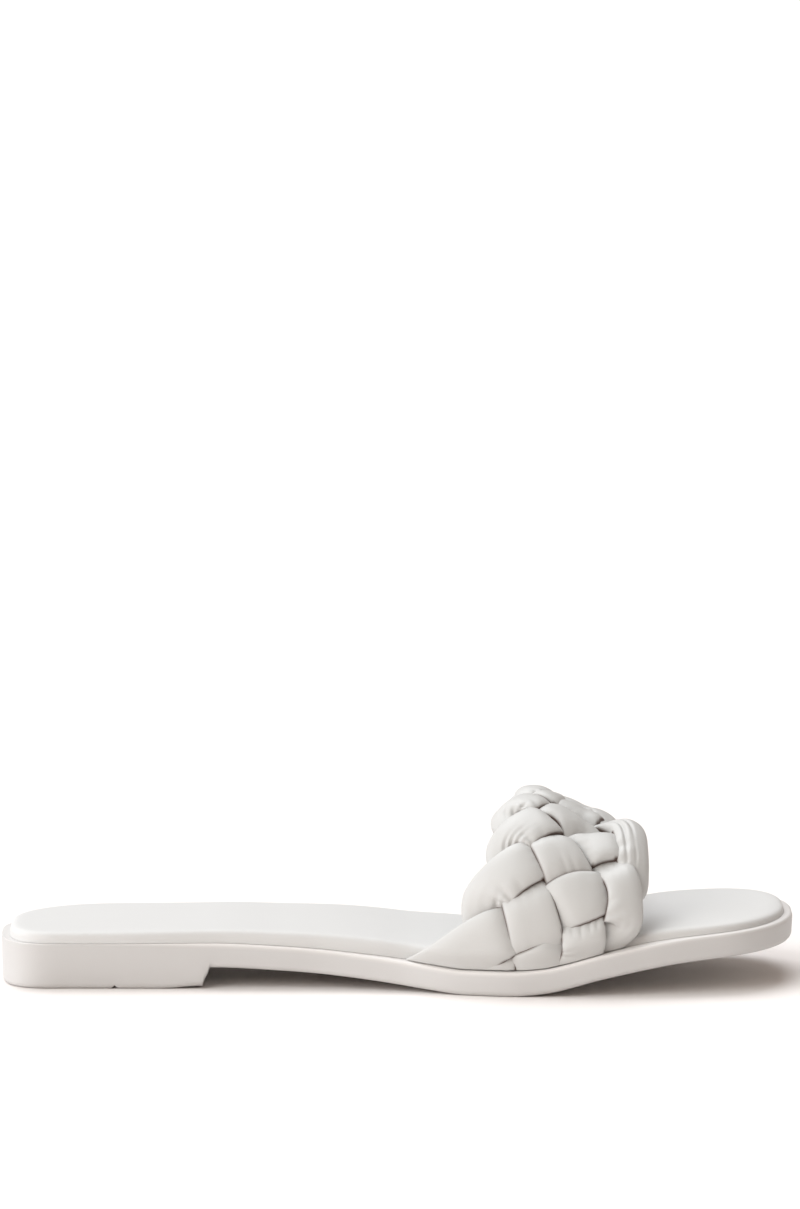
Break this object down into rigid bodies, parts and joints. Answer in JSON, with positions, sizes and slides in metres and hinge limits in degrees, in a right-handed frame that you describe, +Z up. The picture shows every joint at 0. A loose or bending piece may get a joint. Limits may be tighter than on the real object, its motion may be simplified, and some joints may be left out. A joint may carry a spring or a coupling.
{
  "type": "braided flat sandal",
  "caption": "Backless slide sandal for the right foot: moulded flat sole with a low heel block, padded footbed and one wide band plaited from padded leather strips over the instep.",
  "frame": {"origin": "on the floor under the middle of the sandal's length and width", "axes": "+X from heel to toe, +Y from the outer side of the foot to the inner side, +Z up from the floor"},
  "size_m": [0.256, 0.0898, 0.0608],
  "materials": {
    "sole_bone": "smooth matt moulded sole, warm bone white",
    "insole_white": "smooth matt off-white lining leather over padding",
    "strap_bone": "soft satin bone-white leather over padding"
  },
  "bodies": {
    "root": {"outsole": "sole_bone", "insole": "insole_white", "braided_upper": "strap_bone"}
  },
  "joints": []
}
